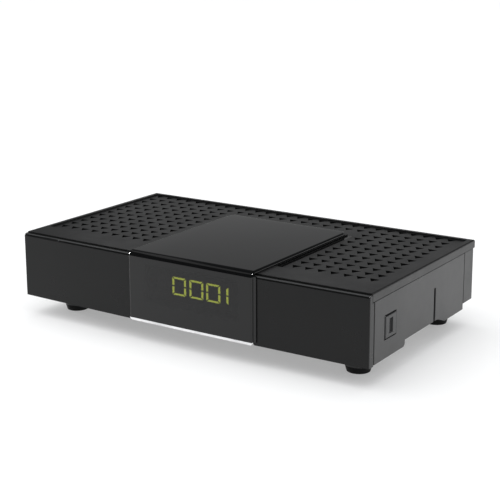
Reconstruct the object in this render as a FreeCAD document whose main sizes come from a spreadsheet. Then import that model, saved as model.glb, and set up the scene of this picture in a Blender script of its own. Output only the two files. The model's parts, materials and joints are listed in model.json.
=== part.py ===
"""Compact satellite TV receiver, an assembly of separate pieces, in millimetres.

+Z is up, +X is to the right as seen from the front, and +Y runs from the front to the back.
The origin is the middle of the whole part's box, on the floor that the feet stand on.
"""
import FreeCAD, Part
import math
import os
import Sketcher

doc = FreeCAD.newDocument("satellite_receiver")
sheet = doc.addObject("Spreadsheet::Sheet", "dims")

DIMENSIONS = {
    # casing
    "body_width": 168.0,
    "body_depth": 92.5,
    "body_height": 28.0,
    "wall": 2.0,
    "lip_height": 3.4,
    "lip_overhang": 0.3,
    "seam_gap": 0.3,
    "edge_round": 0.8,
    "front_bow": 1.2,
    # top deck: a sunk field with vents and a plain border
    "deck": 1.8,
    "recess_depth": 0.6,
    "recess_front": 13.6,
    "recess_border": 2.5,
    # vents: rows and columns of triangles, points to the front
    "vent_side": 4.2,
    "vent_height": 3.4,
    "vent_pitch_x": 5.67,
    "vent_pitch_y": 6.22,
    "vent_first_x": 6.1,
    "vent_first_y": 18.8,
    # centre cover
    "cover_width": 59.8,
    "cover_offset": 5.2,
    "cover_proud": 1.3,
    "cover_seat": 0.7,
    "cover_round": 2.6,
    "cover_edge": 1.0,
    "plate_rise": 1.2,
    "plate_depth": 71.5,
    "plate_corner": 3.5,
    "trim_height": 1.2,
    "trim_inset": 0.2,
    "trim_cut": 0.8,
    # front bezel
    "bezel_drop": 0.5,
    "bezel_round": 1.1,
    "bezel_corner": 0.6,
    "bezel_return": 4.2,
    "window_width": 43.0,
    "window_height": 13.0,
    "window_offset": 0.4,
    # base
    "foot_drop": 8.5,
    "floor_rise": 2.5,
    "floor": 2.0,
    "skirt_front_end": 29.6,
    "skirt_rear_start": 58.5,
    "skirt_slope": 7.0,
    "skirt_round": 1.5,
    "clip_slit_y": 55.3,
    "clip_slit_width": 1.45,
    "clip_slit_height": 13.8,
    "rear_return": 9.2,
    "rear_corner": 1.0,
    # legs and feet
    "foot_inset": 13.6,
    "foot_front_y": 17.5,
    "foot_rear_y": 85.6,
    "leg_top_radius": 6.2,
    "leg_bottom_radius": 5.3,
    "pad_height": 2.4,
    "pad_radius": 4.6,
    # case screws and the posts that they pull down
    "case_post_inset": 6.0,
    "case_post_front_y": 36.0,
    "case_post_rear_y": 74.0,
    "case_post_radius": 3.0,
    "case_boss_height": 2.0,
    "case_screw_radius": 1.4,
    "case_screw_length": 10.0,
    "case_head_radius": 2.6,
    "case_head_height": 1.8,
    "case_head_sunk": 1.0,
    "screw_clearance": 0.3,
    # push button in the right side
    "opening_y": 17.1,
    "opening_z": 12.0,
    "opening_width": 9.3,
    "opening_height": 9.5,
    "collar_wall": 1.2,
    "collar_depth": 1.4,
    "button_gap": 0.4,
    "button_proud": 0.3,
    "button_thickness": 3.0,
    "thumb_width": 2.8,
    "thumb_height": 5.8,
    "thumb_depth": 0.8,
    "button_edge": 0.4,
    "button_travel": 1.6,
    "stem_radius": 1.5,
    "stem_length": 7.5,
    "running_gap": 0.3,
    "switch_width": 8.0,
    "switch_length": 12.0,
    # main board
    "board_thickness": 1.6,
    "board_post_height": 1.9,
    "board_post_radius": 3.0,
    "board_side_gap": 10.0,
    "board_front_y": 10.5,
    "board_rear_gap": 1.0,
    "board_screw_side": 3.2,
    "board_screw_front": 20.0,
    "screw_reach_gap": 0.8,
    "board_screw_radius": 1.3,
    "board_screw_length": 4.6,
    "board_head_radius": 2.5,
    "board_head_height": 1.7,
    # rear connectors
    "jack_reach": 8.5,
    "panel_fit": 0.3,
    "socket_flush": 0.3,
    "tuner_gap": 0.3,
    "tuner_width": 42.0,
    "tuner_depth": 30.0,
    "tuner_height": 14.5,
    "jack_spacing": 22.0,
    "jack_height": 7.6,
    "jack_radius": 4.75,
    "jack_collar_radius": 5.6,
    "jack_bore_radius": 2.6,
    "jack_bore_depth": 7.5,
    "hdmi_x": -8.0,
    "hdmi_width": 15.0,
    "hdmi_height": 5.8,
    "hdmi_depth": 12.0,
    "usb_x": 12.2,
    "usb_width": 13.1,
    "usb_height": 5.7,
    "usb_depth": 14.0,
    "shell_sheet": 0.4,
    "tongue_width": 11.0,
    "tongue_thickness": 1.6,
    "lan_x": 30.0,
    "lan_width": 16.0,
    "lan_height": 13.4,
    "lan_depth": 21.0,
    "lan_opening_width": 11.8,
    "lan_opening_height": 8.2,
    "lan_opening_depth": 13.0,
    "lan_latch_width": 6.0,
    "lan_latch_height": 2.2,
    "audio_x": 47.0,
    "audio_width": 10.0,
    "audio_height": 12.0,
    "audio_depth": 12.0,
    "audio_ring_radius": 4.15,
    "audio_collar_radius": 4.9,
    "audio_core_radius": 3.3,
    "audio_hole_radius": 1.6,
    "audio_reach": 7.8,
    "power_x": 62.5,
    "power_width": 9.0,
    "power_height": 11.0,
    "power_depth": 14.0,
    "power_bore_radius": 3.2,
    "power_bore_depth": 9.5,
    "power_pin_radius": 1.0,
    # parts on the main board, the capacitors counted from its right edge
    "chip_x": 6.0,
    "chip_y": 44.0,
    "chip_side": 21.0,
    "chip_height": 1.4,
    "sink_side": 27.0,
    "sink_base": 2.4,
    "fin_thickness": 1.2,
    "fin_height": 8.0,
    "memory_x": 33.0,
    "memory_width": 9.0,
    "memory_length": 13.5,
    "memory_height": 1.2,
    "memory_pitch": 17.0,
    "capacitor_radius": 3.2,
    "capacitor_height": 11.5,
    "capacitor_pitch": 9.0,
    "capacitor_x": 17.0,
    "capacitor_y": 38.0,
    "coil_side": 9.0,
    "coil_height": 5.2,
    "coil_x": -34.0,
    "coil_y": 34.0,
    "coil_pitch": 12.0,
    # display unit behind the centre cover, its height counted down from the top
    "display_x": 8.7,
    "display_z": 11.2,
    "display_width": 30.2,
    "display_height": 10.4,
    "display_depth": 6.1,
    "display_face": 0.9,
    "display_board_width": 58.0,
    "display_board_height": 15.0,
    "display_board_thickness": 1.6,
    "pillar_radius": 2.2,
    "pillar_inset": 4.0,
    "eye_x": -11.5,
    "eye_width": 5.2,
    "eye_height": 6.4,
    "eye_depth": 4.2,
    "eye_lens": 1.9,
    "lamp_x": -17.4,
    "lamp_radius": 1.5,
    "lamp_depth": 3.6,
    "lamp_tip": 0.9,
    "ribbon_width": 18.0,
    "ribbon_thickness": 0.6,
    "ribbon_bend": 3.0,
    "header_width": 21.0,
    "header_depth": 4.4,
    "header_height": 5.2,
    "header_gap": 4.0,
}

VENT_COLUMNS = 28
VENT_ROWS = 12
LEFT_COLUMNS = 9
RIGHT_COLUMNS = 7
REAR_ROWS = 2
FIN_COUNT = 7
CAPACITOR_COUNT = 3
COIL_COUNT = 2


class Size:
    """A length: the expression that binds it to the sheet, and its value now."""

    def __init__(self, text, value):
        self.text = text
        self.value = value

    def __add__(self, other):
        return combine(self, "+", other)

    def __radd__(self, other):
        return combine(other, "+", self)

    def __sub__(self, other):
        return combine(self, "-", other)

    def __rsub__(self, other):
        return combine(other, "-", self)

    def __mul__(self, other):
        return combine(self, "*", other)

    def __rmul__(self, other):
        return combine(other, "*", self)

    def __truediv__(self, other):
        return combine(self, "/", other)

    def __neg__(self):
        return combine(0, "-", self)


def sized(thing):
    """A Size as it is, or a plain number as a Size."""
    return thing if isinstance(thing, Size) else Size(str(thing), float(thing))


def combine(left, sign, right):
    """The Size of two Sizes or numbers joined by one sign."""
    left, right = sized(left), sized(right)
    results = {
        "+": left.value + right.value,
        "-": left.value - right.value,
        "*": left.value * right.value,
        "/": left.value / right.value if right.value else 0.0,
    }
    return Size(f"({left.text} {sign} {right.text})", results[sign])


def root(size):
    """The square root of a Size."""
    return Size(f"sqrt({size.text})", math.sqrt(size.value))


class Dimensions:
    """The named sizes of the sheet, one attribute each."""


dim = Dimensions()
for row, (name, value) in enumerate(DIMENSIONS.items(), start=1):
    sheet.set(f"A{row}", name)
    sheet.set(f"B{row}", str(value))
    sheet.setAlias(f"B{row}", name)
    setattr(dim, name, Size(f"dims.{name}", value))
doc.recompute()

# ---- places that several pieces share ------------------------------------------------------

half_width = dim.body_width / 2
side_x = half_width - dim.lip_overhang
inner_x = side_x - dim.wall
front_y = (dim.front_bow + dim.cover_proud - dim.body_depth - dim.jack_reach) / 2
back_y = front_y + dim.body_depth
panel_y = back_y - dim.wall
skirt_z = dim.foot_drop
base_z = skirt_z + dim.floor_rise
floor_z = base_z + dim.floor
top_z = skirt_z + dim.body_height
seam_z = top_z - dim.lip_height
bezel_z = top_z - dim.bezel_drop
deck_z = top_z - dim.recess_depth - dim.deck
wall_top_z = seam_z - dim.seam_gap
shell_front = dim.wall + dim.seam_gap
rear_seam_y = back_y - dim.rear_return

cover_left = dim.cover_offset - dim.cover_width / 2
cover_right = dim.cover_offset + dim.cover_width / 2
plate_back = front_y + dim.plate_depth

bow_radius = (half_width * half_width + dim.front_bow * dim.front_bow) / (2 * dim.front_bow)
bow_centre = front_y - dim.front_bow + bow_radius

foot_x = half_width - dim.foot_inset
foot_front = front_y + dim.foot_front_y
foot_rear = front_y + dim.foot_rear_y
foot_span = foot_rear - foot_front

case_post_x = half_width - dim.case_post_inset
case_post_front = front_y + dim.case_post_front_y
case_post_rear = front_y + dim.case_post_rear_y
case_boss_z = floor_z + dim.case_boss_height
case_head_z = base_z + dim.case_head_sunk

opening_y = front_y + dim.opening_y
opening_z = skirt_z + dim.opening_z
collar_x = inner_x - dim.collar_depth
button_face = side_x + dim.button_proud
button_back = button_face - dim.button_thickness
stem_end = button_back - dim.stem_length
switch_face = button_back - dim.button_travel - dim.running_gap
switch_back = switch_face - dim.switch_length

board_z = floor_z + dim.board_post_height
deck_board_z = board_z + dim.board_thickness
board_x = half_width - dim.board_side_gap
board_front = front_y + dim.board_front_y
board_back = panel_y - dim.board_rear_gap
board_screw_x = board_x - dim.board_screw_side
board_screw_front = board_front + dim.board_screw_front
board_screw_rear = panel_y - dim.tuner_depth - dim.board_head_radius - dim.screw_reach_gap

tuner_x = dim.tuner_gap + dim.tuner_width / 2 - board_x
socket_y = back_y + dim.socket_flush
jack_z = deck_board_z + dim.jack_height
audio_z = deck_board_z + dim.audio_height / 2
power_z = deck_board_z + dim.power_height / 2
hdmi_z = deck_board_z + dim.hdmi_height / 2
usb_z = deck_board_z + dim.usb_height / 2
lan_z = deck_board_z + dim.lan_height / 2

display_face = front_y + dim.display_face
display_back = display_face + dim.display_depth
display_board_back = display_back + dim.display_board_thickness
display_z = top_z - dim.display_z
display_board_left = cover_left
display_board_right = display_board_left + dim.display_board_width
display_board_low = display_z - dim.display_board_height / 2
display_board_high = display_z + dim.display_board_height / 2


def bow_y(half, set_back):
    """How far back a curve parallel to the bowed front lies at a distance from the middle."""
    reach = bow_radius - set_back
    return bow_centre - root(reach * reach - half * half)


# ---- helpers -------------------------------------------------------------------------------

nodes = {}


def node(name, thing):
    """Names a finished piece and lists it for export."""
    thing.Label = name
    nodes[name] = thing
    return thing


def bind(thing, **sizes):
    """Ties properties of an object to sheet sizes; an underscore pair stands for a dot."""
    for name, size in sizes.items():
        thing.setExpression(name.replace("__", "."), sized(size).text)


def box(name, low, high):
    """A box between two corners."""
    thing = doc.addObject("Part::Box", name)
    spans = [top - bottom for bottom, top in zip(low, high)]
    bind(thing, Length=spans[0], Width=spans[1], Height=spans[2])
    place(thing, low)
    return thing


def place(thing, base):
    """Ties the base point of an object's placement."""
    bind(thing, Placement__Base__x=base[0], Placement__Base__y=base[1], Placement__Base__z=base[2])


TURNS = {
    "x": FreeCAD.Rotation(FreeCAD.Vector(0, 1, 0), 90),
    "y": FreeCAD.Rotation(FreeCAD.Vector(1, 0, 0), -90),
    "z": FreeCAD.Rotation(),
}


def rod(name, base, radius, height, axis="z"):
    """A cylinder from its base point along an axis."""
    thing = doc.addObject("Part::Cylinder", name)
    bind(thing, Radius=radius, Height=height)
    thing.Placement = FreeCAD.Placement(FreeCAD.Vector(), TURNS[axis])
    place(thing, base)
    return thing


def hexagon(name, base, radius, height):
    """A six-sided prism that stands on its base point."""
    thing = doc.addObject("Part::Prism", name)
    thing.Polygon = 6
    bind(thing, Circumradius=radius, Height=height)
    place(thing, base)
    return thing


def fused(name, pieces):
    """The union of several objects."""
    thing = doc.addObject("Part::MultiFuse", name)
    thing.Shapes = pieces
    return thing


def group(name, pieces):
    """Several separate solids as one object."""
    thing = doc.addObject("Part::Compound", name)
    thing.Links = pieces
    return thing


def cut(name, base, tools):
    """An object less several tools."""
    tool = tools[0] if len(tools) == 1 else fused(f"{name}_tools", tools)
    thing = doc.addObject("Part::Cut", name)
    thing.Base = base
    thing.Tool = tool
    return thing


def new_body(name):
    """An empty PartDesign body."""
    return doc.addObject("PartDesign::Body", f"{name}_body")


def origin_feature(body, role):
    """A plane or an axis of a body's own origin."""
    return next(item for item in body.Origin.OriginFeatures if item.Role == role)


def arc_between(start, end, radius):
    """An arc from start to end that turns left for a positive radius, right for a negative one."""
    chord = end - start
    left = FreeCAD.Vector(-chord.y, chord.x, 0).normalize()
    rise = math.sqrt(radius * radius - chord.Length * chord.Length / 4)
    centre = (start + end) / 2 + left * math.copysign(rise, radius)
    circle = Part.Circle(centre, FreeCAD.Vector(0, 0, 1), abs(radius))
    first, last = (start, end) if radius > 0 else (end, start)
    return Part.ArcOfCircle(circle, circle.parameter(first), circle.parameter(last))


def sketch_on(body, name, plane, centre, loops):
    """A fully constrained sketch of closed loops and circles, every coordinate tied to a size.

    The sketch's origin is the centre point. A loop is a list of points (u, v), or (u, v, radius)
    where an arc leads to the next point. A circle is the tuple (u, v, radius) by itself.
    """
    sketch = body.newObject("Sketcher::SketchObject", name)
    sketch.AttachmentSupport = [(origin_feature(body, plane), "")]
    sketch.MapMode = "FlatFace"
    axes = {"XY_Plane": (0, 1, 2, 1), "XZ_Plane": (0, 2, 1, -1), "YZ_Plane": (1, 2, 0, 1)}[plane]
    offset = (centre[axes[0]], centre[axes[1]], sized(centre[axes[2]]) * axes[3])
    for letter, size in zip("xyz", offset):
        sketch.setExpression(f"AttachmentOffset.Base.{letter}", sized(size).text)
    for loop in loops:
        if isinstance(loop, tuple):
            add_circle(sketch, loop)
        else:
            add_loop(sketch, loop)
    return sketch


def tie(sketch, kind, where, size):
    """Adds one constraint and binds its value."""
    index = sketch.addConstraint(Sketcher.Constraint(kind, *where, size.value))
    sketch.setExpression(f"Constraints[{index}]", size.text)


def add_circle(sketch, circle):
    """A circle with its centre and its radius tied."""
    u, v, radius = [sized(item) for item in circle]
    middle = FreeCAD.Vector(u.value, v.value, 0)
    edge = sketch.addGeometry(Part.Circle(middle, FreeCAD.Vector(0, 0, 1), radius.value))
    tie(sketch, "Radius", (edge,), radius)
    tie(sketch, "DistanceX", (-1, 1, edge, 3), u)
    tie(sketch, "DistanceY", (-1, 1, edge, 3), v)


def add_loop(sketch, loop):
    """A closed loop of lines and arcs with each corner tied."""
    corners = [[sized(item) for item in corner] for corner in loop]
    points = [FreeCAD.Vector(corner[0].value, corner[1].value, 0) for corner in corners]
    edges = []
    for index, corner in enumerate(corners):
        start, end = points[index], points[(index + 1) % len(points)]
        if len(corner) == 3:
            edge = sketch.addGeometry(arc_between(start, end, corner[2].value))
            turns_right = corner[2].value < 0
            radius = -corner[2] if turns_right else corner[2]
            tie(sketch, "Radius", (edge,), radius)
            edges.append((edge, 2, 1) if turns_right else (edge, 1, 2))
        else:
            edges.append((sketch.addGeometry(Part.LineSegment(start, end)), 1, 2))
    for index, (edge, first, last) in enumerate(edges):
        following = edges[(index + 1) % len(edges)]
        sketch.addConstraint(Sketcher.Constraint("Coincident", edge, last, following[0], following[1]))
        tie(sketch, "DistanceX", (-1, 1, edge, first), corners[index][0])
        tie(sketch, "DistanceY", (-1, 1, edge, first), corners[index][1])


def pad(body, name, sketch, length, backwards=False):
    """Adds a straight pad of a sketch."""
    feature = body.newObject("PartDesign::Pad", name)
    feature.Profile = sketch
    feature.Reversed = backwards
    bind(feature, Length=length)
    return feature


def pocket(body, name, sketch, length, backwards=False):
    """Cuts a straight pocket; it goes against the sketch's normal unless it is backwards."""
    feature = body.newObject("PartDesign::Pocket", name)
    feature.Profile = sketch
    feature.Reversed = backwards
    bind(feature, Length=length)
    return feature


def revolve(body, name, sketch):
    """Adds a full turn of a sketch about its own vertical axis."""
    feature = body.newObject("PartDesign::Revolution", name)
    feature.Profile = sketch
    feature.ReferenceAxis = (sketch, ["V_Axis"])
    feature.Angle = 360
    return feature


def repeat(body, name, feature, counts, spans):
    """Repeats a feature along X and Y, with the count and the whole span of each direction."""
    pattern = body.newObject("PartDesign::LinearPattern", name)
    pattern.Originals = [feature]
    pattern.Direction = (origin_feature(body, "X_Axis"), [""])
    pattern.Direction2 = (origin_feature(body, "Y_Axis"), [""])
    pattern.Occurrences = counts[0]
    pattern.Occurrences2 = counts[1]
    bind(pattern, Length=spans[0], Length2=spans[1])
    body.Tip = pattern
    return pattern


def edges_where(feature, test):
    """The names of a feature's edges whose middle and direction pass a test."""
    found = []
    for index, edge in enumerate(feature.Shape.Edges, start=1):
        middle = edge.valueAt((edge.FirstParameter + edge.LastParameter) / 2)
        ends = edge.Vertexes[-1].Point - edge.Vertexes[0].Point
        if test(middle, ends):
            found.append(f"Edge{index}")
    return found


def soften(body, name, kind, feature, test, size):
    """Rounds or chamfers the edges of a feature that pass a test."""
    doc.recompute()
    edges = edges_where(feature, test)
    softened = body.newObject(f"PartDesign::{kind}", name)
    softened.Base = (feature, edges)
    bind(softened, **{"Radius" if kind == "Fillet" else "Size": size})
    body.Tip = softened
    return softened


def near(value, size):
    """Whether a coordinate is at a place."""
    return abs(value - sized(size).value) < 0.01


def upright(ends):
    """Whether an edge runs along Z."""
    return abs(ends.z) > 0.5 and math.hypot(ends.x, ends.y) < 0.01


def bowed_band(left, right, outer, inner):
    """A strip in plan that follows the bowed front between two set-back distances."""
    return [
        (left, bow_y(left, outer), bow_radius - outer),
        (right, bow_y(right, outer)),
        (right, bow_y(right, inner), inner - bow_radius),
        (left, bow_y(left, inner)),
    ]


def rectangle(left, right, low, high):
    """A rectangle as a loop."""
    return [(left, low), (right, low), (right, high), (left, high)]


def four_corners(x, front, rear):
    """Four points in plan, the same distance left and right of the middle."""
    return [(-x, front), (x, front), (-x, rear), (x, rear)]


# ---- casing --------------------------------------------------------------------------------


def vent(x, y):
    """A triangle whose point faces the front, about its middle."""
    rear_y = y + dim.vent_height / 2
    return [
        (x, y - dim.vent_height / 2),
        (x + dim.vent_side / 2, rear_y),
        (x - dim.vent_side / 2, rear_y),
    ]


def vent_field(body, name, column, row_number, columns, rows):
    """Cuts a block of vents through the deck, from its first column and row."""
    x = dim.vent_first_x - half_width + dim.vent_pitch_x * column
    y = front_y + dim.vent_first_y + dim.vent_pitch_y * row_number
    centre = (0, 0, top_z)
    hole = pocket(
        body, f"{name}_vent", sketch_on(body, f"{name}_sketch", "XY_Plane", centre, [vent(x, y)]),
        dim.recess_depth + dim.deck + dim.wall,
    )
    spans = (dim.vent_pitch_x * (columns - 1), dim.vent_pitch_y * (rows - 1))
    return repeat(body, f"{name}_vents", hole, (columns, rows), spans)


def make_top_shell():
    """The moulded top: lip round three sides, sunk and vented deck, pad for the cover, posts."""
    body = new_body("top_shell")
    left, right = -half_width, half_width
    outline = [
        (left, bow_y(half_width, shell_front), bow_radius - shell_front),
        (right, bow_y(half_width, shell_front)),
        (right, back_y),
        (left, back_y),
    ]
    block = sketch_on(body, "top_outline", "XY_Plane", (0, 0, seam_z), [outline])
    block = pad(body, "top_block", block, dim.lip_height)
    rounded = soften(
        body, "top_edges", "Fillet", block,
        lambda middle, ends: near(middle.z, top_z)
        and (near(abs(middle.x), half_width) or near(middle.y, back_y)),
        dim.edge_round,
    )
    hollow_front = bow_y(0, shell_front) + dim.wall + dim.front_bow
    hollow = rectangle(-inner_x, inner_x, hollow_front, panel_y)
    hollow = sketch_on(body, "top_hollow_outline", "XY_Plane", (0, 0, seam_z), [hollow])
    pocket(body, "top_hollow", hollow, deck_z - seam_z, backwards=True)
    recess_left, recess_right = dim.recess_border - half_width, half_width - dim.recess_border
    recess_front = front_y + dim.recess_front
    recess_back = back_y - dim.recess_border
    recess = [
        (recess_left, recess_front),
        (cover_left, recess_front),
        (cover_left, plate_back),
        (cover_right, plate_back),
        (cover_right, recess_front),
        (recess_right, recess_front),
        (recess_right, recess_back),
        (recess_left, recess_back),
    ]
    recess = sketch_on(body, "top_recess_outline", "XY_Plane", (0, 0, top_z), [recess])
    pocket(body, "top_recess", recess, dim.recess_depth)
    corners = four_corners(case_post_x, case_post_front, case_post_rear)
    posts = [(x, y, dim.case_post_radius) for x, y in corners]
    bores = [(x, y, dim.case_screw_radius) for x, y in corners]
    posts = sketch_on(body, "top_post_outline", "XY_Plane", (0, 0, case_boss_z), posts + bores)
    pad(body, "top_posts", posts, deck_z + dim.deck / 2 - case_boss_z)
    main_rows = VENT_ROWS - REAR_ROWS
    right_start = VENT_COLUMNS - RIGHT_COLUMNS
    vent_field(body, "left", 0, 0, LEFT_COLUMNS, main_rows)
    vent_field(body, "right", right_start, 0, RIGHT_COLUMNS, main_rows)
    vent_field(body, "rear", 0, main_rows, VENT_COLUMNS, REAR_ROWS)
    node("top_shell", body)


def make_front_bezel():
    """The front: two plain wings, a seat for the cover between them, short side returns."""
    body = new_body("front_bezel")
    back = front_y + dim.bezel_return
    inner = half_width - dim.wall
    lower = [
        (-half_width, bow_y(half_width, 0), bow_radius),
        (half_width, bow_y(half_width, 0)),
        (half_width, back),
        (inner, back),
        (inner, bow_y(inner, dim.wall), dim.wall - bow_radius),
        (-inner, bow_y(inner, dim.wall)),
        (-inner, back),
        (-half_width, back),
    ]
    lower = sketch_on(body, "bezel_lower_outline", "XY_Plane", (0, 0, skirt_z), [lower])
    pad(body, "bezel_lower", lower, wall_top_z - skirt_z)
    upper = bowed_band(-half_width, half_width, 0, dim.wall)
    upper = sketch_on(body, "bezel_upper_outline", "XY_Plane", (0, 0, wall_top_z), [upper])
    upper = pad(body, "bezel_upper", upper, bezel_z - wall_top_z)
    brow = soften(
        body, "bezel_brow", "Fillet", upper,
        lambda middle, ends: near(middle.z, bezel_z) and middle.y < front_y.value - 0.3
        and abs(ends.x) > 10,
        dim.bezel_round,
    )
    corner = soften(
        body, "bezel_corners", "Fillet", brow,
        lambda middle, ends: near(middle.y, front_y) and upright(ends)
        and near(abs(middle.x), half_width),
        dim.bezel_corner,
    )
    seat = bowed_band(cover_left, cover_right, -dim.wall, dim.cover_seat)
    seat = sketch_on(body, "bezel_seat_outline", "XY_Plane", (0, 0, skirt_z), [seat])
    pocket(body, "bezel_seat", seat, dim.body_height, backwards=True)
    window_x = dim.window_offset + dim.cover_offset
    window = rectangle(
        window_x - dim.window_width / 2, window_x + dim.window_width / 2,
        display_z - dim.window_height / 2, display_z + dim.window_height / 2,
    )
    window_y = front_y - dim.front_bow - dim.wall
    window = sketch_on(body, "bezel_window_outline", "XZ_Plane", (0, window_y, 0), [window])
    pocket(body, "bezel_window", window, dim.front_bow + 3 * dim.wall)
    pillars = [
        (x, z, dim.pillar_radius)
        for x in (display_board_left + dim.pillar_inset, display_board_right - dim.pillar_inset)
        for z in (display_board_low + dim.pillar_radius, wall_top_z - dim.pillar_radius)
    ]
    pillars = sketch_on(body, "bezel_pillar_outline", "XZ_Plane", (0, display_back, 0), pillars)
    wall_middle = bow_y(0, (dim.wall + dim.cover_seat) / 2)
    pad(body, "bezel_pillars", pillars, display_back - wall_middle)
    node("front_bezel", body)


def make_centre_cover():
    """The smoked cover: a proud front plate that turns over the top edge into a raised plate."""
    body = new_body("centre_cover")
    foot = skirt_z + dim.trim_height
    front = bowed_band(cover_left, cover_right, -dim.cover_proud, dim.cover_seat)
    front = sketch_on(body, "cover_front_outline", "XY_Plane", (0, 0, foot), [front])
    pad(body, "cover_front", front, top_z - foot)
    plate = [
        (cover_left, bow_y(cover_left, -dim.cover_proud), bow_radius + dim.cover_proud),
        (cover_right, bow_y(cover_right, -dim.cover_proud)),
        (cover_right, plate_back),
        (cover_left, plate_back),
    ]
    plate = sketch_on(body, "cover_plate_outline", "XY_Plane", (0, 0, top_z), [plate])
    plate = pad(body, "cover_plate", plate, dim.plate_rise)
    back = soften(
        body, "cover_back_corners", "Fillet", plate,
        lambda middle, ends: near(middle.y, plate_back) and upright(ends),
        dim.plate_corner,
    )
    brow = soften(
        body, "cover_brow", "Fillet", back,
        lambda middle, ends: near(middle.z, top_z + dim.plate_rise)
        and middle.y < front_y.value and abs(ends.x) > 10,
        dim.cover_round,
    )
    soften(
        body, "cover_edges", "Fillet", brow,
        lambda middle, ends: upright(ends) and middle.y < front_y.value - dim.cover_proud.value / 2
        and (near(middle.x, cover_left) or near(middle.x, cover_right)),
        dim.cover_edge,
    )
    node("centre_cover", body)


def make_trim_strip():
    """The bright strip under the cover, its lower ends cut at a slant."""
    body = new_body("trim_strip")
    strip = bowed_band(cover_left, cover_right, dim.trim_inset - dim.cover_proud, dim.cover_seat)
    strip = sketch_on(body, "trim_outline", "XY_Plane", (0, 0, skirt_z), [strip])
    strip = pad(body, "trim_block", strip, dim.trim_height)
    soften(
        body, "trim_ends", "Chamfer", strip,
        lambda middle, ends: near(middle.z, skirt_z) and abs(ends.x) < 0.1,
        dim.trim_cut,
    )
    node("trim_strip", body)


def make_bottom_shell():
    """The base tray: floor, skirted side walls, button collar, clip slits, legs and posts."""
    body = new_body("bottom_shell")
    tray = rectangle(-inner_x, inner_x, front_y + shell_front, panel_y)
    tray = sketch_on(body, "tray_outline", "XY_Plane", (0, 0, base_z), [tray])
    pad(body, "tray", tray, dim.floor)
    start = front_y + dim.bezel_return + dim.seam_gap
    end = rear_seam_y - dim.seam_gap
    skirt_front = front_y + dim.skirt_front_end
    skirt_rear = front_y + dim.skirt_rear_start
    turn = dim.skirt_round
    side = [
        (start, skirt_z),
        (skirt_front - turn, skirt_z, turn),
        (skirt_front, skirt_z + turn),
        (skirt_front, base_z),
        (skirt_rear, base_z),
        (skirt_rear + dim.skirt_slope, skirt_z),
        (end, skirt_z),
        (end, wall_top_z),
        (start, wall_top_z),
    ]
    side = sketch_on(body, "side_outline", "YZ_Plane", (inner_x, 0, 0), [side])
    side = pad(body, "side_wall", side, dim.wall)
    slit = rectangle(
        front_y + dim.clip_slit_y - dim.clip_slit_width / 2,
        front_y + dim.clip_slit_y + dim.clip_slit_width / 2,
        base_z, base_z + dim.clip_slit_height,
    )
    slit = sketch_on(body, "slit_outline", "YZ_Plane", (side_x, 0, 0), [slit])
    slit = pocket(body, "clip_slit", slit, dim.wall)
    mirrored = body.newObject("PartDesign::Mirrored", "far_side")
    mirrored.Originals = [side, slit]
    mirrored.MirrorPlane = (origin_feature(body, "YZ_Plane"), [""])
    body.Tip = mirrored
    half_open_y, half_open_z = dim.opening_width / 2, dim.opening_height / 2
    rim_y, rim_z = half_open_y + dim.collar_wall, half_open_z + dim.collar_wall
    collar = rectangle(opening_y - rim_y, opening_y + rim_y, opening_z - rim_z, opening_z + rim_z)
    collar = sketch_on(body, "collar_outline", "YZ_Plane", (collar_x, 0, 0), [collar])
    pad(body, "collar", collar, dim.collar_depth)
    opening = rectangle(
        opening_y - half_open_y, opening_y + half_open_y,
        opening_z - half_open_z, opening_z + half_open_z,
    )
    opening = sketch_on(body, "opening_outline", "YZ_Plane", (side_x, 0, 0), [opening])
    pocket(body, "opening", opening, dim.wall + dim.collar_depth)
    leg = [
        (0, dim.pad_height),
        (dim.leg_bottom_radius, dim.pad_height),
        (dim.leg_top_radius, base_z),
        (0, base_z),
    ]
    leg = sketch_on(body, "leg_outline", "XZ_Plane", (-foot_x, foot_front, 0), [leg])
    leg = revolve(body, "leg", leg)
    repeat(body, "legs", leg, (2, 2), (2 * foot_x, foot_span))
    board_corners = four_corners(board_screw_x, board_screw_front, board_screw_rear)
    posts = [(x, y, dim.board_post_radius) for x, y in board_corners]
    posts = sketch_on(body, "board_post_outline", "XY_Plane", (0, 0, floor_z), posts)
    pad(body, "board_posts", posts, dim.board_post_height)
    case_corners = four_corners(case_post_x, case_post_front, case_post_rear)
    bosses = [(x, y, dim.case_post_radius) for x, y in case_corners]
    bosses = sketch_on(body, "case_boss_outline", "XY_Plane", (0, 0, floor_z), bosses)
    pad(body, "case_bosses", bosses, dim.case_boss_height)
    pilots = [(x, y, dim.board_screw_radius) for x, y in board_corners]
    pilots = sketch_on(body, "board_pilot_outline", "XY_Plane", (0, 0, board_z), pilots)
    pocket(body, "board_pilots", pilots, dim.board_screw_length - dim.board_thickness)
    holes = [(x, y, dim.case_screw_radius + dim.screw_clearance) for x, y in case_corners]
    holes = sketch_on(body, "case_hole_outline", "XY_Plane", (0, 0, case_boss_z), holes)
    pocket(body, "case_holes", holes, case_boss_z - base_z)
    sinks = [(x, y, dim.case_head_radius + dim.screw_clearance) for x, y in case_corners]
    sinks = sketch_on(body, "case_sink_outline", "XY_Plane", (0, 0, base_z), sinks)
    pocket(body, "case_sinks", sinks, dim.case_head_sunk, backwards=True)
    node("bottom_shell", body)


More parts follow.
